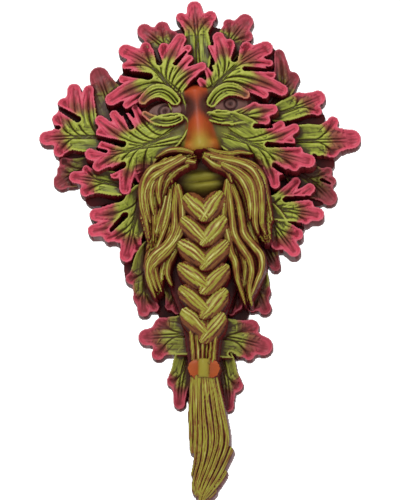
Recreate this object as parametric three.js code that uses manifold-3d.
// A leafy mask for a wall: a bearded face among oak leaves, with a plaited beard that ends in a
// tassel, cast in one piece with a flat back. Millimetres. The wall is the plane y = 0, the relief
// stands toward -Y and +Z is up. The origin is on the back, between the brows.

import * as THREE from 'three';
import { mergeVertices } from 'three/addons/utils/BufferGeometryUtils.js';
import Module from 'manifold-3d';

const { degToRad, clamp } = THREE.MathUtils;

// Driving dimensions. Places are given as they are seen by someone who stands a step away, a little
// below the plaque and to its right, on a plane that lies at the eye's lift off the wall.
const eye = {
  distance: 1500, below: degToRad(12), right: degToRad(3.5), toward: [0, -105], lift: 14,
};
const wallSlope = Math.tan(degToRad(85));
const grid = { left: -106, right: 108, bottom: -276, top: 56, step: 0.6 };
const behindWall = 3;
const facetBudget = 9000;

const leafDish = 2;
const rimWidth = 1.5;
const lobeFullness = 1.22;
const tipTaper = 0.34;
const fillet = 2;
const veinWidth = 0.8;
const veinDepth = 0.8;
const bed = 0.5;

const lockPitch = 4;
const lockDepth = 1.8;
const lockStep = 0.9;

const face = {
  centre: [-1.5, -19],
  tilt: 0.1,
  width: 112,
  height: 150,
  depth: 31,
  eyeGap: 40,
  eyeWidth: 21,
  eyeHeight: 12,
  noseLength: 30,
  noseWidth: 23,
  noseDepth: 13.5,
  lipDrop: 45,
  lipWidth: 23,
  visibleHalf: 33,
  visibleAbove: 10,
  visibleBelow: 54,
  fallAway: 1.3,
};

const braid = {
  middle: 2, top: -78, bottom: -158, leftPitch: 13.8, rightPitch: 14.6, halfWidth: 14,
  strand: 14, lift: [34, 27],
};
const band = { left: -7.3, right: 11.5, top: -170, bottom: -181, lift: 27 };
const tassel = { strands: 12, twist: 0.55, width: 6, lift: [25, 19], inset: 0.1 };
const hanger = { width: 10, height: 20, depth: 8, drop: 20 };

// A lobe ends at a tip, has a width, leaves the leaf's rib at a share of its length and may end at
// a height of its own
function lobe(x, z, width, fork, lift) {
  return { tip: [x, z], width, fork, lift };
}

// A gap between two lobes, from its round inner end outward
function gap(x0, z0, x1, z1, width) {
  return { from: [x0, z0], to: [x1, z1], width };
}

// Each leaf has its height off the wall at root, middle and tip, its rib, the width of the lobe
// round the rib, the width of its palm and its other lobes.
const leaves = [
  { name: 'crown', lift: [26, 20, 13], rib: [[-1, 2], [-2, 26], [-3.8, 44.5]], width: 10, palm: 17,
    lobes: [lobe(-13.7, 36.6, 6.5, 0.4), lobe(8.8, 37.7, 8, 0.42)],
  },
  { name: 'crown left', lift: [16, 14, 10], rib: [[-10, 8], [-24, 20], [-36.8, 29.3]],
    width: 10, palm: 22,
    lobes: [lobe(-22.5, 32.3, 9.5, 0.3), lobe(-15, 26, 8, 0.2)],
  },
  { name: 'crown right', lift: [16, 14, 10], rib: [[9, 8], [20, 24], [29.8, 36]], width: 11, palm: 19,
    lobes: [lobe(16.7, 33.7, 7.5, 0.25), lobe(31.7, 23.7, 7, 0.3)],
  },
  { name: 'left back', lift: [12, 10, 7], rib: [[-50, -28], [-57, -10], [-62.6, 4.5]],
    width: 13, palm: 22,
    lobes: [],
  },
  { name: 'right back', lift: [14, 12, 9], rib: [[44, -16], [51, -6], [58.3, 1]], width: 9, palm: 12,
    lobes: [lobe(47.5, 5.5, 7, 0.3), lobe(46.7, 15.5, 7, 0.1)],
  },
  { name: 'left outer', lift: [17, 15, 10], rib: [[-56, -37], [-76, -36], [-96.5, -38]],
    width: 9.5, palm: 19,
    lobes: [lobe(-87, -23.6, 7, 0.4), lobe(-82.3, -13.8, 8.5, 0.28), lobe(-75.6, -5, 9, 0.15),
      lobe(-66.6, -6, 7, 0.02), lobe(-86.5, -48.5, 8, 0.4)],
    gaps: [gap(-73.3, -26.6, -88, -17.5, 4.2), gap(-85, -31, -94, -29.5, 2.6)],
  },
  { name: 'right upper', lift: [18, 17, 12], rib: [[46, -23], [62, -18], [74.6, -11.2]],
    width: 10, palm: 14,
    lobes: [lobe(73, -22.6, 6, 0.35), lobe(60, -10.5, 7.5, 0.25)],
  },
  { name: 'right outer', lift: [17, 16, 10], rib: [[52, -39], [76, -39.5], [96.5, -37.5]],
    width: 13, palm: 20,
    lobes: [lobe(81.2, -25, 7.5, 0.3), lobe(81.8, -48.8, 8.5, 0.35)],
    gaps: [gap(68.5, -48.8, 78, -57, 3)],
  },
  { name: 'left low back', lift: [10, 9, 7], rib: [[-64, -54], [-80, -60], [-87, -67]],
    width: 11, palm: 16,
    lobes: [lobe(-85.5, -56, 7, 0.3), lobe(-84, -50.5, 7, 0.1)],
  },
  { name: 'right low back', lift: [11, 10, 8], rib: [[56, -56], [72, -66], [80.7, -77]],
    width: 11, palm: 20,
    lobes: [lobe(81.5, -62.6, 7, 0.3), lobe(79, -56.3, 6, 0.15), lobe(74, -72, 8, 0.2)],
    gaps: [gap(73, -62.6, 78, -65, 2.4)],
  },
  { name: 'left low', lift: [20, 19, 13], rib: [[-44, -67], [-62, -62], [-78.5, -60.6]],
    width: 8, palm: 15,
    lobes: [lobe(-71.7, -71.3, 7.5, 0.25), lobe(-69.4, -54.4, 5, 0.4)],
  },
  { name: 'left lower', lift: [22, 20, 13], rib: [[-36, -71], [-40, -90], [-45.4, -112]],
    width: 9, palm: 19,
    lobes: [lobe(-66.4, -83.5, 8.5, 0.02), lobe(-67.5, -93.5, 8.5, 0.17), lobe(-57.5, -98.5, 6, 0.3),
      lobe(-52.3, -98, 7, 0.45), lobe(-36, -106, 6, 0.45)],
    gaps: [gap(-45, -84.5, -53, -93, 4.4)],
  },
  { name: 'right low', lift: [22, 20, 14], rib: [[35, -78], [58, -81.5], [74.5, -83.8]],
    width: 9, palm: 15,
    lobes: [lobe(68, -65.6, 7, 0.12), lobe(58.9, -61.5, 6, 0.02), lobe(62.5, -71.6, 4.5, 0.1),
      lobe(67.8, -76.8, 5.5, 0.25), lobe(65.6, -88.6, 5.5, 0.35)],
    gaps: [gap(51.5, -74.6, 66, -73.4, 4)],
  },
  { name: 'right lower', lift: [22, 20, 15], rib: [[37, -78], [48, -96], [59, -108]],
    width: 9, palm: 16,
    lobes: [lobe(62, -95.7, 8, 0.3), lobe(46, -105, 7.5, 0.25)],
    gaps: [gap(54, -86.5, 66, -92, 4.4)],
  },
  { name: 'right low tip', lift: [13, 12, 10], rib: [[37, -98], [43, -110], [46.6, -117.3]],
    width: 7, palm: 10,
    lobes: [],
  },
  { name: 'left pendant', lift: [16, 14, 10], rib: [[-30, -104], [-35, -128], [-33.7, -145]],
    width: 8, palm: 18,
    lobes: [lobe(-44.5, -123, 7.5, 0.2), lobe(-39.2, -136, 7, 0.5), lobe(-25.4, -141.2, 6, 0.5)],
  },
  { name: 'left inner pendant', lift: [15, 14, 12], rib: [[-17, -115], [-17, -130], [-12.6, -143.5]],
    width: 6.5, palm: 13,
    lobes: [lobe(-20, -140.5, 5.5, 0.5)],
  },
  { name: 'right pendant', lift: [16, 14, 10], rib: [[30, -110], [33, -132], [41, -143]],
    width: 8.5, palm: 17,
    lobes: [lobe(42, -131, 6.5, 0.35), lobe(28.8, -141, 6.5, 0.55)],
  },
  { name: 'right inner pendant', lift: [15, 14, 12], rib: [[20, -115], [22, -130], [22.5, -141]],
    width: 7, palm: 13,
    lobes: [lobe(17.3, -144, 5.5, 0.5)],
  },
  { name: 'base left', lift: [17, 15, 10], rib: [[-2, -156], [-20, -155.5], [-37, -157.6]],
    width: 11, palm: 24,
    lobes: [lobe(-27, -148, 11, 0.02), lobe(-27.2, -170.5, 8.5, 0.25)],
  },
  { name: 'base right', lift: [17, 15, 10], rib: [[6, -157], [20, -156.5], [43.4, -164]],
    width: 12.5, palm: 24,
    lobes: [lobe(34.8, -149, 10.5, 0.05), lobe(31.2, -170.6, 7, 0.3)],
    gaps: [gap(18.5, -167.5, 27, -173, 2.8)],
  },
  { name: 'foot left', lift: [14, 13, 9], rib: [[-6, -163], [-13, -182], [-12.3, -200.5]],
    width: 7.5, palm: 15,
    lobes: [lobe(-19.5, -185.5, 8, 0.35)],
  },
  { name: 'foot right', lift: [14, 13, 9], rib: [[11, -163], [18, -184], [16.5, -202]],
    width: 7.5, palm: 15,
    lobes: [lobe(25.2, -188.3, 8.5, 0.35)],
  },
  { name: 'brow left', lift: [29, 32, 12], rib: [[-13, -19], [-21, 5], [-48.3, 16.6]],
    width: 9.5, palm: 11,
    lobes: [lobe(-33, 19.8, 7.2, 0.5, 13), lobe(-21.1, 19.2, 6.2, 0.33, 17),
      lobe(-10, 24.6, 7.8, 0.25, 23), lobe(-5.8, 17.9, 4.8, 0.22, 26), lobe(-4.7, 11.6, 4.5, 0.15, 28),
      lobe(3.6, 6.4, 5.8, 0.12, 31), lobe(-3, 2.5, 4.6, 0.06, 31), lobe(-47, 5.6, 4.8, 0.5, 14),
      lobe(-48.8, -2.8, 6.8, 0.33, 17), lobe(-56.5, -16.4, 8.5, 0.22, 20), lobe(-46, -19, 5, 0.16, 23)],
    gaps: [gap(-30.5, -1.2, -50, 2.2, 5), gap(-24.4, 7.5, -27.5, 18, 3.8), gap(-14.5, 6.3, -8, 11, 3.2)],
  },
  { name: 'brow right', lift: [29, 32, 12], rib: [[5, -16], [13, 4], [43, 18.6]], width: 10, palm: 11,
    lobes: [lobe(28.6, 20, 7.5, 0.55, 14), lobe(17.8, 21.5, 5.8, 0.33, 18), lobe(9.8, 25.7, 8, 0.3, 22),
      lobe(4.8, 17.9, 4.8, 0.22, 26), lobe(3.5, 4.5, 3.5, 0.08, 30), lobe(43.8, 7.2, 4.8, 0.5, 15),
      lobe(45.3, -0.6, 5.8, 0.4, 17), lobe(52.3, -10.4, 7.8, 0.27, 20), lobe(40.8, -12.8, 5.5, 0.22, 24),
      lobe(-1, -2, 4.5, 0, 31)],
    gaps: [gap(27, 4, 46, 2.8, 3.4), gap(20.6, 9.8, 23, 19, 4.4), gap(7.8, 6.5, 4, 15, 3)],
  },
  { name: 'cheek left', lift: [31, 34, 22], rib: [[-14, -30], [-34, -49], [-69, -47]],
    width: 8.5, palm: 25,
    lobes: [lobe(-60.5, -41, 5.5, 0.6), lobe(-62, -33, 6, 0.35), lobe(-62, -25, 7, 0.28),
      lobe(-53, -21.5, 6, 0.25), lobe(-44.7, -23, 4.5, 0.2), lobe(-39.8, -17.7, 4.5, 0.12),
      lobe(-64, -56.4, 7, 0.6), lobe(-52.3, -62, 6, 0.5), lobe(-45, -71.5, 7.5, 0.4),
      lobe(-33, -66, 10, 0.28)],
    gaps: [gap(-46.3, -41.2, -62, -36.6, 4.2), gap(-57, -44.6, -66, -42.6, 2.4),
      gap(-46.5, -53.2, -58, -59, 4), gap(-41.5, -30.5, -47, -20, 3.4)],
  },
  { name: 'cheek right', lift: [31, 34, 22], rib: [[11, -28], [30, -46], [69.2, -51.9]],
    width: 9, palm: 25,
    lobes: [lobe(61.5, -44.5, 6.3, 0.55), lobe(57, -39, 5, 0.35), lobe(59, -30.2, 6.5, 0.28),
      lobe(50.2, -28, 5.5, 0.25), lobe(59, -56.6, 6.5, 0.6), lobe(50, -59.3, 6, 0.5),
      lobe(45.5, -68, 6.5, 0.42), lobe(34, -64, 10, 0.28)],
    gaps: [gap(40.7, -41.8, 62, -41.2, 3.8), gap(33.5, -31, 43, -30.8, 3.6),
      gap(44.6, -53.2, 56, -60.5, 3.4)],
  },
  { name: 'lid left', lift: [31, 32, 29], rib: [[-15, -15], [-24, -2], [-36.2, -17]], width: 6, palm: 7,
    lobes: [],
  },
  { name: 'lid right', lift: [31, 32, 29], rib: [[7, -16], [14, -2], [29.5, -13]], width: 6, palm: 7,
    lobes: [],
  },
  { name: 'under left eye', lift: [32, 33, 29], rib: [[-12.5, -26], [-23, -32], [-34.5, -22]],
    width: 4.2, palm: 5,
    lobes: [],
  },
  { name: 'under right eye', lift: [32, 33, 27], rib: [[6, -24.5], [20, -31], [34.5, -16.8]],
    width: 5.5, palm: 6,
    lobes: [lobe(46.5, -19.8, 7, 0.5), lobe(42, -27.5, 6, 0.45)],
  },
];

// Broad bands of hair for the moustache, the loose beard and the beard under the plait, from their
// roots to their ends
const bandsOfHair = [
  { lift: [38, 25], half: [3, 7, 8.5, 7, 2],
    way: [[-5, -50], [-20, -56], [-28, -67], [-29.5, -83], [-29, -101]] },
  { lift: [38, 25], half: [3, 7, 9, 8, 2],
    way: [[4, -48.5], [22, -55], [32, -67], [35, -83], [40, -99]] },
  { lift: [30, 21], half: [3, 6.5, 8, 7.5, 2],
    way: [[-16, -67], [-18, -84], [-22, -98], [-27, -113], [-26, -130]] },
  { lift: [30, 21], half: [3, 7, 9, 9, 2],
    way: [[18, -65], [21, -84], [26, -100], [30, -116], [29, -134]] },
  { lift: [28, 25], half: [8, 12, 12, 10, 7],
    way: [[2, -82], [2, -95], [2, -120], [2, -145], [2, -172]] },
];

// Single locks that lie on them, with the width and the height off the wall at each end
const locks = [
  { width: 4, lift: [40, 32], way: [[-5, -46], [-12, -44.5], [-19, -45], [-26, -49]] },
  { width: 5, lift: [40, 27], way: [[-12, -48.5], [-20, -52.5], [-29, -56], [-34.5, -65], [-35, -76],
    [-33, -86], [-30.5, -98]] },
  { width: 5.5, lift: [40, 28], way: [[-10, -50], [-24, -58], [-30, -63], [-33, -71], [-32, -80],
    [-30, -88]] },
  { width: 5, lift: [38, 30], way: [[-14, -52], [-23, -59], [-28, -65], [-29.5, -73], [-28, -83]] },
  { width: 4.5, lift: [38, 32], way: [[-14, -53], [-21, -58], [-24.5, -64], [-25, -71], [-24, -78]] },
  { width: 4.5, lift: [40, 33], way: [[-4, -52], [-12, -51], [-18, -56], [-17, -64]] },
  { width: 4, lift: [40, 32], way: [[5, -44], [10, -46], [17, -47], [24, -46], [31, -47]] },
  { width: 5, lift: [40, 26], way: [[4, -47], [20, -50.5], [30, -53], [37, -60], [40, -72], [43, -87]] },
  { width: 5.5, lift: [40, 28], way: [[8, -49], [22, -52], [31, -56.5], [36, -66], [37, -78], [37, -88],
    [39, -95]] },
  { width: 5.5, lift: [38, 29], way: [[12, -52], [24, -57.5], [31, -65], [33, -77], [33, -88], [35, -95]] },
  { width: 5, lift: [38, 31], way: [[14, -54], [23, -60], [28, -68], [30, -77], [30, -86]] },
  { width: 4.5, lift: [40, 33], way: [[3, -49], [9, -53.5], [16, -57], [19, -64]] },
  { width: 5.5, lift: [31, 24], way: [[-13, -67], [-11, -78], [-11, -90], [-14, -98], [-20, -106],
    [-28, -114], [-29, -120], [-26, -129]] },
  { width: 5.5, lift: [31, 23], way: [[-14.5, -68], [-15.5, -80], [-15.5, -92], [-20, -101], [-28, -108],
    [-31.5, -115], [-30.5, -124], [-27, -133]] },
  { width: 5, lift: [30, 23], way: [[-18, -70], [-19.5, -80], [-22, -90], [-24, -99], [-30, -106]] },
  { width: 5, lift: [30, 23], way: [[-21, -74], [-24.5, -86], [-27, -95], [-32, -104]] },
  { width: 5, lift: [26, 20], way: [[-12.5, -100], [-16, -107], [-19, -113], [-19.5, -120], [-17, -126]] },
  { width: 5.5, lift: [29, 23], way: [[-12, -90], [-16, -100], [-22, -106], [-26, -111], [-27, -117],
    [-23.5, -129]] },
  { width: 5.5, lift: [31, 23], way: [[16, -64], [14.5, -75], [14, -86], [16.5, -96], [18, -105],
    [21, -112], [22, -120], [24, -127], [27, -137]] },
  { width: 5.5, lift: [31, 24], way: [[17, -64], [18, -75], [19, -85], [20.5, -95], [25, -103],
    [29.5, -110], [31, -118], [29.5, -128], [31, -138]] },
  { width: 5.5, lift: [31, 24], way: [[19, -65], [23, -76], [25, -86], [26.5, -95], [32, -102],
    [36.5, -108], [37, -116], [34, -124], [31, -132]] },
  { width: 5, lift: [29, 23], way: [[21, -65], [27, -73], [29, -83], [30.5, -92], [33, -99], [36, -105]] },
  { width: 4.5, lift: [27, 21], way: [[20, -98], [25, -105], [27.5, -113], [27, -122], [25.5, -129]] },
];

// Edges of the tassel from the band to its tip
const tasselLeft = [[-6.5, -182], [-9.3, -203], [-8.7, -219], [-6.2, -231], [-6.3, -246], [-1, -254]];
const tasselRight = [[10, -182], [15.8, -203], [20.2, -219], [17.8, -231], [11.5, -245], [3, -254]];

// Plain masses behind the leaves and under the beard
const masses = [
  { line: [[-2, 2], [0, -14], [0, -46], [0, -72], [2, -98], [2, -125], [2, -148], [2, -192]],
    half: [24, 46, 68, 58, 42, 32, 24, 10], lift: 8 },
  { line: [[-50, -40], [-79, -49]], half: [12, 6], lift: 6 },
  { line: [[-45, -62], [-64, -74]], half: [14, 5], lift: 7 },
  { line: [[-38, -96], [-40, -122]], half: [10, 5], lift: 7 },
  { line: [[50, -24], [70, -26]], half: [9, 5], lift: 7 },
  { line: [[55, -46], [76, -53]], half: [10, 5], lift: 6 },
  { line: [[48, -66], [70, -73]], half: [12, 6], lift: 6 },
  { line: [[42, -84], [59, -91]], half: [12, 4], lift: 7 },
  { line: [[44, -2], [43, 12]], half: [8, 4], lift: 7 },
  { line: [[0, -14], [0, -34], [2, -60], [2, -85], [2, -115], [2, -145], [2, -172]],
    half: [26, 42, 36, 33, 23, 13, 9], lift: 17 },
];

function mix(a, b, t) {
  return a + (b - a) * t;
}

function smooth(low, high, value) {
  return THREE.MathUtils.smoothstep(value, low, high);
}

// The place on the plaque of what is seen at a height off the wall
const ahead = new THREE.Vector3(
  -Math.sin(eye.right) * Math.cos(eye.below), Math.cos(eye.right) * Math.cos(eye.below),
  Math.sin(eye.below));
const rightward = new THREE.Vector3(Math.cos(eye.right), Math.sin(eye.right), 0);
const upward = new THREE.Vector3().crossVectors(rightward, ahead);
const lookedAt = new THREE.Vector3(
  (eye.toward[0] + eye.lift * rightward.y) / rightward.x, -eye.lift,
  (eye.toward[1] + eye.lift * upward.y) / upward.z);
const eyeAt = lookedAt.clone().addScaledVector(ahead, -eye.distance);

function place([x, z], lift) {
  const sight = lookedAt.clone().addScaledVector(rightward, x - eye.toward[0])
    .addScaledVector(upward, z - eye.toward[1]).sub(eyeAt);
  const at = eyeAt.clone().addScaledVector(sight, (-lift - eyeAt.y) / sight.y);
  return new THREE.Vector2(at.x, at.z);
}

// The relief as a field of heights off the wall
const wide = Math.round((grid.right - grid.left) / grid.step) + 1;
const tall = Math.round((grid.top - grid.bottom) / grid.step) + 1;
const relief = new Float32Array(wide * tall).fill(-behindWall);

function raise(column, row, lift) {
  const spot = row * wide + column;
  relief[spot] = Math.max(relief[spot], lift);
}

function eachSpot(low, high, visit) {
  const from = (value, edge) => Math.max(0, Math.floor((value - edge) / grid.step));
  const upTo = (value, edge, count) => Math.min(count - 1, Math.ceil((value - edge) / grid.step));
  for (let row = from(low.y, grid.bottom); row <= upTo(high.y, grid.bottom, tall); row += 1) {
    for (let column = from(low.x, grid.left); column <= upTo(high.x, grid.left, wide); column += 1) {
      visit(column, row, grid.left + column * grid.step, grid.bottom + row * grid.step);
    }
  }
}

// Visits each spot near a line of points with half widths, with how far inside its edge the spot
// lies, how far to its left, the half width there and the share of the line passed
function alongLine(line, half, reach, visit) {
  const box = new THREE.Box2().setFromPoints(line).expandByScalar(reach + Math.max(...half));
  const last = line.length - 1;
  eachSpot(box.min, box.max, (column, row, x, z) => {
    let nearest = null;
    for (let i = 0; i < last; i += 1) {
      const [a, b] = [line[i], line[i + 1]];
      const [dx, dz] = [b.x - a.x, b.y - a.y];
      const passed = clamp(((x - a.x) * dx + (z - a.y) * dz) / (dx * dx + dz * dz), 0, 1);
      const [offX, offZ] = [x - a.x - passed * dx, z - a.y - passed * dz];
      const width = mix(half[i], half[i + 1], passed);
      const inside = width - Math.hypot(offX, offZ);
      if (!nearest || inside > nearest.inside) {
        const aside = (dx * offZ - dz * offX) / Math.hypot(dx, dz);
        nearest = { inside, aside, half: width, share: (i + passed) / last };
      }
    }
    visit(column, row, nearest, x, z);
  });
}

function pointsOf(path, count) {
  return Array.from({ length: count }, (_, i) => path.getPoint(i / (count - 1)));
}

function shares(count) {
  return Array.from({ length: count }, (_, i) => i / (count - 1));
}

// A value that runs through a list of stops
function between(stops, t) {
  const at = t * (stops.length - 1);
  const first = Math.min(Math.floor(at), stops.length - 2);
  return mix(stops[first], stops[first + 1], at - first);
}

const reachOf = (lift) => (lift + behindWall) / wallSlope;

// A lobe swells toward its middle and narrows to its round tip
function lobeHalf(width, t) {
  const waist = 0.82 + 0.28 * smooth(0.2, 0.62, t) - tipTaper * smooth(0.62, 1, t);
  return width / 2 * lobeFullness * waist;
}

// The line of a lobe, evenly spaced, ending short of its tip by the tip's own radius
function lobeLine(path, width) {
  const length = path.getLength();
  const end = Math.max(0.1, 1 - lobeHalf(width, 1) / length);
  return shares(12).map((t) => path.getPointAt(t * end));
}

// Two distances inside their edges join with a small fillet
function join(a, b) {
  const near = Math.max(0, fillet - Math.abs(a - b)) / fillet;
  return Math.max(a, b) + near * near * fillet / 4;
}

// A leaf is a palm with lobes along a rib: dished inside its rim, grooved along its veins, with
// gaps cut between its lobes down to a lower bed
function layLeaf({ lift, rib: ribPoints, width, palm, lobes, gaps = [] }) {
  const [rootLift, middleLift, tipLift] = lift;
  const liftAt = (share) => mix(mix(rootLift, middleLift, share), mix(middleLift, tipLift, share), share);
  const [root, middle, tip] = ribPoints;
  const rib = new THREE.QuadraticBezierCurve(
    place(root, rootLift), place(middle, liftAt(0.5)), place(tip, tipLift));
  const start = rib.getPoint(0);
  const length = start.distanceTo(rib.getPoint(1));
  const veins = [{ line: lobeLine(rib, width), width, lifts: liftAt }];
  for (const { tip: lobeTip, width: lobeWidth, fork, lift: endLift = tipLift } of lobes) {
    const from = rib.getPoint(fork);
    const end = place(lobeTip, endLift);
    const bend = rib.getTangent(fork).multiplyScalar(from.distanceTo(end) * 0.4).add(from);
    const path = new THREE.QuadraticBezierCurve(from, bend, end);
    const lifts = (share) => mix(liftAt(fork), endLift, share ** 1.3);
    veins.push({ line: lobeLine(path, lobeWidth), width: lobeWidth, lifts });
  }
  const reach = reachOf(Math.max(...lift));
  const spots = new Map();
  const note = (column, row, x, z, inside, level, groove) => {
    const key = row * wide + column;
    const old = spots.get(key) ?? { column, row, x, z, inside: -reach, weight: 0, level: 0, groove: 0 };
    const weight = Math.exp(clamp(0.6 * inside, -40, 8));
    old.inside = join(old.inside, inside);
    old.weight += weight;
    old.level += weight * level;
    old.groove = Math.max(old.groove, groove);
    spots.set(key, old);
  };
  const palmLine = shares(9).map((t) => rib.getPoint(t * 0.58));
  const palmHalf = shares(9).map((t) => palm / 2 * (1 - 0.4 * (2 * t - 1) ** 2));
  alongLine(palmLine, palmHalf, reach, (column, row, near, x, z) => {
    const out = Math.min(1, Math.hypot(x - start.x, z - start.y) / length);
    note(column, row, x, z, near.inside, liftAt(out), 0);
  });
  for (const vein of veins) {
    const half = shares(12).map((t) => lobeHalf(vein.width, t));
    alongLine(vein.line, half, reach, (column, row, near, x, z) => {
      const groove = Math.max(0, 1 - Math.abs(near.aside) / veinWidth) * (1 - near.share);
      note(column, row, x, z, near.inside, vein.lifts(near.share), groove);
    });
  }
  for (const { column, row, inside } of spots.values()) {
    raise(column, row, tipLift * bed + Math.min(0, inside) * wallSlope);
  }
  for (const { from, to, width: gapWidth } of gaps) {
    const slot = [place(from, liftAt(0.6)), place(to, liftAt(0.9))];
    alongLine(slot, [0.5 * gapWidth, 0.3 * gapWidth], reach, (column, row, near) => {
      const spot = spots.get(row * wide + column);
      if (spot) {
        spot.inside = Math.min(spot.inside, -near.inside);
      }
    });
  }
  for (const { column, row, inside, weight, level, groove } of spots.values()) {
    const dish = leafDish * (1 - Math.exp(-Math.max(0, inside) / rimWidth));
    raise(column, row, level / weight - dish - groove * veinDepth * smooth(0, 1, inside)
      + Math.min(0, inside) * wallSlope);
  }
}

// A ribbon of hair along a line, rounded across and combed into locks
function layRibbon(line, half, lifts, { roundness, parts = 1, depth = 0, step = 0, number = 0 }) {
  alongLine(line, half, reachOf(Math.max(...lifts)), (column, row, near) => {
    const across = clamp(near.aside / near.half, -1, 1);
    const wander = 0.13 * Math.sin(4.2 * near.share + 2.3 * across + 1.9 * number) * (1 - across ** 2);
    const spread = parts * (across + wander + 1) / 2;
    const part = Math.floor(spread);
    const crest = Math.sin(Math.PI * (spread - part)) ** 0.7;
    const top = between(lifts, near.share) - near.half * roundness * across ** 2 - depth * (1 - crest)
      + step * Math.sin(2.4 * part + 1.7 * number + 3 * near.share);
    raise(column, row, top + Math.min(0, near.inside) * wallSlope);
  });
}

function hairLine({ way, lift }) {
  const last = way.length - 1;
  const path = new THREE.SplineCurve(way.map((at, i) => place(at, mix(lift[0], lift[1], i / last))));
  return pointsOf(path, 4 * last + 1);
}

function layBandOfHair(hair, number) {
  const line = hairLine(hair);
  const half = shares(line.length).map((t) => between(hair.half, t));
  const parts = Math.max(1, Math.round(2 * Math.max(...half) / lockPitch));
  layRibbon(line, half, hair.lift, { roundness: 0.3, parts, depth: lockDepth, step: lockStep, number });
}

function layLock(lock) {
  const line = hairLine(lock);
  const swell = (t) => Math.sin(Math.PI * mix(0.15, 0.97, t)) ** 0.6;
  const half = shares(line.length).map((t) => lock.width / 2 * swell(t));
  layRibbon(line, half, lock.lift, { roundness: 0.6 });
}

function layMass({ line, half, lift }) {
  const path = new THREE.SplineCurve(line.map((at) => place(at, lift)));
  const widths = new THREE.SplineCurve(half.map((value) => new THREE.Vector2(value, 0)));
  const count = 4 * (line.length - 1) + 1;
  const halfWidths = pointsOf(widths, count).map((at) => at.x);
  layRibbon(pointsOf(path, count), halfWidths, [lift, lift], { roundness: 0.15 });
}

// The face has the proportions of a drawing book: eyes halfway down the head and one eye apart,
// the nose as wide as the gap between them, the mouth a third of the way from nose to chin
function bump(across, up, width, height) {
  return Math.exp(-((across / width) ** 2) - ((up / height) ** 2));
}

function faceLift(u, v) {
  const dome = Math.sqrt(Math.max(0, 1 - (2 * u / face.width) ** 2 - (2 * v / face.height) ** 2));
  const aside = Math.abs(u) - face.eyeGap / 2;
  const down = clamp(-v / face.noseLength, 0, 1);
  const noseHalf = mix(5.2, 7.4, down ** 2);
  const noseSpan = smooth(-face.noseLength - 2.5, -face.noseLength + 2, v) * (1 - smooth(8, 22, v));
  const noseRise = face.noseDepth * mix(0.3, 1, down ** 1.2);
  const nose = noseRise * Math.exp(-(Math.abs(u / noseHalf) ** 2.8)) * noseSpan;
  const fromTip = v + face.noseLength - 5;
  const ball = 2.2 * bump(u, fromTip, 6, 6);
  const wings = 7 * bump(Math.abs(u) - face.noseWidth * 0.37, fromTip + 0.5, 3.2, 4);
  const nostrils = 3 * bump(Math.abs(u) - 4.4, fromTip + 6.5, 2, 1.6);
  const openEye = (2 * aside / face.eyeWidth) ** 2 + (2 * v / face.eyeHeight) ** 2;
  const socket = 6.5 * bump(aside, v - 1.5, face.eyeWidth * 0.6, face.eyeHeight * 0.75);
  const eyeball = 5.5 * Math.sqrt(Math.max(0, 1 - openEye));
  const lids = 1.7 * Math.exp(-(((Math.sqrt(openEye) - 1.02) / 0.13) ** 2));
  const mouth = v + face.lipDrop - 0.006 * u * u;
  const lips = 3 * bump(u, mouth - 3, face.lipWidth * 0.46, 2.4)
    + 3.6 * bump(u, mouth + 3.2, face.lipWidth * 0.42, 2.6);
  return face.depth * dome + nose + ball + wings - nostrils + eyeball + lids - socket + lips;
}

function layFace() {
  const centre = place(face.centre, face.depth);
  const size = new THREE.Vector2(face.width, face.height);
  const box = new THREE.Box2().setFromCenterAndSize(centre, size);
  eachSpot(box.min, box.max, (column, row, x, z) => {
    const u = x - centre.x + (z - centre.y) * face.tilt;
    const v = z - centre.y - (x - centre.x) * face.tilt;
    const beyond = Math.max(0, v - face.visibleAbove) + Math.max(0, -face.visibleBelow - v)
      + Math.max(0, Math.abs(u) - face.visibleHalf);
    raise(column, row, faceLift(u, v) - beyond * face.fallAway);
  });
}

// Two columns of lens-shaped strands that lean toward the middle line
function layBraid() {
  for (const [side, pitch, lean] of [[-1, braid.leftPitch, 5.5], [1, braid.rightPitch, 7.5]]) {
    for (let z = braid.top; z > braid.bottom; z -= pitch) {
      const share = (z - braid.top) / (braid.bottom - braid.top);
      const reach = braid.halfWidth * (0.72 + 0.28 * Math.sin(Math.PI * share));
      const lift = mix(braid.lift[0], braid.lift[1], share);
      const ends = [[braid.middle + side * reach, z + lean], [braid.middle + side * reach * 0.45, z],
        [braid.middle - side * 1.5, z - lean - 1.5]];
      const line = pointsOf(new THREE.SplineCurve(ends.map((at) => place(at, lift))), 13);
      const half = shares(13).map((t) => braid.strand / 2 * Math.sin(Math.PI * mix(0.06, 0.97, t)) ** 1.2);
      const lifts = shares(13).map((t) => lift - 3 * (1 - t) ** 2);
      layRibbon(line, half, lifts, { roundness: 0.5, depth: 1.2 });
    }
  }
}

function layBand() {
  const half = (band.top - band.bottom) / 2;
  const middle = (band.top + band.bottom) / 2;
  const ends = [[band.left + half, middle], [band.right - half, middle]];
  const path = new THREE.LineCurve(...ends.map((at) => place(at, band.lift)));
  const lifts = shares(7).map((t) => band.lift - 3 * (2 * t - 1) ** 2);
  layRibbon(pointsOf(path, 7), shares(7).map(() => half), lifts, { roundness: 0.2 });
}

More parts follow.
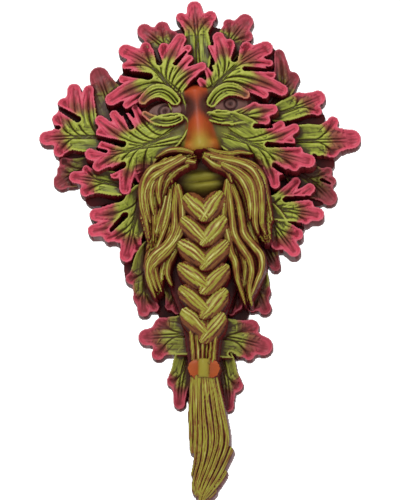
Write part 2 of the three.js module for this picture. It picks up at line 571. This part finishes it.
// Strands fan down from the band, and the whole tassel twists to the left as it falls
function layTassel() {
  const [high, low] = tassel.lift;
  const edge = (points) => pointsOf(new THREE.SplineCurve(points.map((at) => place(at, low))), 41);
  const [left, right] = [edge(tasselLeft), edge(tasselRight)];
  for (let number = 0; number < tassel.strands; number += 1) {
    const start = number / (tassel.strands - 1) * (1 + tassel.twist);
    const kept = shares(41).map((down) => ({ down, share: start - tassel.twist * down * down }))
      .filter(({ share }) => share >= 0 && share <= 1);
    if (kept.length > 5) {
      const line = kept.map(({ down, share }) => {
        const i = Math.round(down * 40);
        return left[i].clone().lerp(right[i], mix(tassel.inset, 1 - tassel.inset, share));
      });
      const half = shares(line.length).map((t) => tassel.width / 2 * (1 - 0.45 * t * t));
      const lifts = kept.map(({ down, share }) => mix(high, low, down) - 5 * (2 * share - 1) ** 2);
      layRibbon(line, half, lifts, { roundness: 0.6, parts: 2, depth: 0.7, step: 0.3, number });
    }
  }
}

// Few triangles that keep to the relief: starting from its four corners, the spot that lies
// farthest from the facets joins them, and the triangles round it are laid anew
function farthestSpot([a, b, c]) {
  const area = turnOf(a, b, c);
  const [columns, rows] = [[a.column, b.column, c.column], [a.row, b.row, c.row]];
  let worst = { miss: 0 };
  for (let row = Math.min(...rows); row <= Math.max(...rows); row += 1) {
    for (let column = Math.min(...columns); column <= Math.max(...columns); column += 1) {
      const spot = { column, row };
      const [u, v, w] = [turnOf(b, c, spot) / area, turnOf(c, a, spot) / area, turnOf(a, b, spot) / area];
      if (u >= 0 && v >= 0 && w >= 0) {
        const lift = relief[row * wide + column];
        const miss = Math.abs(lift - u * a.lift - v * b.lift - w * c.lift) * weight[row * wide + column];
        if (miss > worst.miss) {
          worst = { miss, column, row, lift };
        }
      }
    }
  }
  return worst;
}

function turnOf(a, b, c) {
  return (b.column - a.column) * (c.row - a.row) - (b.row - a.row) * (c.column - a.column);
}

function inCircle([a, b, c], spot) {
  const rows = [a, b, c].map((corner) => {
    const [x, y] = [corner.column - spot.column, corner.row - spot.row];
    return [x, y, x * x + y * y];
  });
  const [[ax, ay, as], [bx, by, bs], [cx, cy, cs]] = rows;
  return as * (bx * cy - by * cx) - bs * (ax * cy - ay * cx) + cs * (ax * by - ay * bx) > 0;
}

const edgeKey = (from, to) => from.id * 65536 + to.id;

function facetsOfRelief() {
  const spots = [];
  const byEdge = new Map();
  const facets = new Set();
  const addSpot = ({ column, row }) => {
    const spot = { id: spots.length, column, row, lift: relief[row * wide + column] };
    spots.push(spot);
    return spot;
  };
  const addFacet = (...corners) => {
    const facet = { corners, worst: farthestSpot(corners) };
    corners.forEach((corner, i) => byEdge.set(edgeKey(corner, corners[(i + 1) % 3]), facet));
    facets.add(facet);
  };
  const [a, b, c, d] = [[0, 0], [wide - 1, 0], [wide - 1, tall - 1], [0, tall - 1]]
    .map(([column, row]) => addSpot({ column, row }));
  addFacet(a, b, c);
  addFacet(a, c, d);
  while (facets.size < facetBudget) {
    let seed = null;
    for (const facet of facets) {
      if (!seed || facet.worst.miss > seed.worst.miss) {
        seed = facet;
      }
    }
    const spot = addSpot(seed.worst);
    const hollow = new Set([seed]);
    for (const facet of hollow) {
      facet.corners.forEach((corner, i) => {
        const beyond = byEdge.get(edgeKey(facet.corners[(i + 1) % 3], corner));
        if (beyond && !hollow.has(beyond) && inCircle(beyond.corners, spot)) {
          hollow.add(beyond);
        }
      });
    }
    const rim = [];
    for (const facet of hollow) {
      facet.corners.forEach((corner, i) => {
        const next = facet.corners[(i + 1) % 3];
        if (!hollow.has(byEdge.get(edgeKey(next, corner)))) {
          rim.push([corner, next]);
        }
      });
    }
    for (const facet of hollow) {
      facet.corners.forEach((corner, i) => byEdge.delete(edgeKey(corner, facet.corners[(i + 1) % 3])));
      facets.delete(facet);
    }
    for (const [corner, next] of rim) {
      if (turnOf(corner, next, spot) > 0) {
        addFacet(corner, next, spot);
      }
    }
  }
  return { spots, facets: [...facets].map((facet) => facet.corners.map((corner) => corner.id)) };
}

// A closed mesh with its faces turned outward, as a solid that can be joined and cut
const wasm = await Module();
wasm.setup();

function solid(geometry) {
  geometry.deleteAttribute('normal');
  geometry.deleteAttribute('uv');
  const merged = mergeVertices(geometry, 1e-4);
  const vertProperties = new Float32Array(merged.attributes.position.array);
  const triVerts = new Uint32Array(merged.index.array);
  return new wasm.Manifold(new wasm.Mesh({ numProp: 3, vertProperties, triVerts }));
}

// The facets are closed behind the wall by sides and a bottom that the wall then cuts away
function reliefSolid() {
  const { spots, facets } = facetsOfRelief();
  const points = spots.map(({ column, row, lift }) => (
    [grid.left + column * grid.step, -lift, grid.bottom + row * grid.step]));
  const border = new Map();
  for (const [a, b, c] of facets) {
    for (const [from, to] of [[a, b], [b, c], [c, a]]) {
      const back = `${to} ${from}`;
      if (border.has(back)) {
        border.delete(back);
      } else {
        border.set(`${from} ${to}`, [from, to]);
      }
    }
  }
  const below = new Map();
  const lowered = (id) => {
    if (!below.has(id)) {
      below.set(id, points.length);
      points.push([points[id][0], 2 * behindWall, points[id][2]]);
    }
    return below.get(id);
  };
  const centre = points.length;
  points.push([0, 2 * behindWall, -100]);
  const faces = [...facets];
  for (const [from, to] of border.values()) {
    faces.push([from, lowered(from), lowered(to)], [from, lowered(to), to]);
    faces.push([lowered(to), lowered(from), centre]);
  }
  const geometry = new THREE.BufferGeometry();
  geometry.setAttribute('position', new THREE.Float32BufferAttribute(points.flat(), 3));
  geometry.setIndex(faces.flat());
  return solid(geometry);
}

// A pocket in the back, round at both ends, that hangs on the head of a screw
function hangerPocket() {
  const shape = new THREE.Shape();
  const side = hanger.width / 2;
  const straight = hanger.height / 2 - side;
  shape.absarc(0, straight, side, 0, Math.PI, false);
  shape.absarc(0, -straight, side, Math.PI, 2 * Math.PI, false);
  const geometry = new THREE.ExtrudeGeometry(shape, {
    depth: hanger.depth + behindWall, bevelEnabled: false, curveSegments: 6 });
  geometry.rotateX(Math.PI / 2);
  geometry.translate(0, behindWall, -hanger.drop);
  return solid(geometry);
}

function paintedResin() {
  return new THREE.MeshStandardMaterial({ color: 0x8a4a3a, roughness: 0.5, metalness: 0 });
}

layFace();
masses.forEach(layMass);
leaves.forEach(layLeaf);
bandsOfHair.forEach(layBandOfHair);
locks.forEach(layLock);
layBraid();
layTassel();
layBand();

// On steep sides a miss counts by how far aside it is
const weight = relief.map((lift, spot) => {
  const across = (relief[spot + 1] ?? lift) - (relief[spot - 1] ?? lift);
  const up = (relief[spot + wide] ?? lift) - (relief[spot - wide] ?? lift);
  return 1 / Math.hypot(1, across / (2 * grid.step), up / (2 * grid.step));
});

function mask() {
  const wall = new THREE.BoxGeometry(400, 40, 600);
  wall.translate(0, 20, -100);
  const casting = reliefSolid().subtract(solid(wall)).subtract(hangerPocket());
  const { vertProperties, triVerts } = casting.getMesh();
  const geometry = new THREE.BufferGeometry();
  geometry.setAttribute('position', new THREE.BufferAttribute(new Float32Array(vertProperties), 3));
  geometry.setIndex(new THREE.BufferAttribute(new Uint32Array(triVerts), 1));
  geometry.computeVertexNormals();
  const mesh = new THREE.Mesh(geometry, paintedResin());
  mesh.name = 'leaf_mask_plaque';
  return mesh;
}

const plaque = new THREE.Group();
plaque.add(mask());

export default plaque;
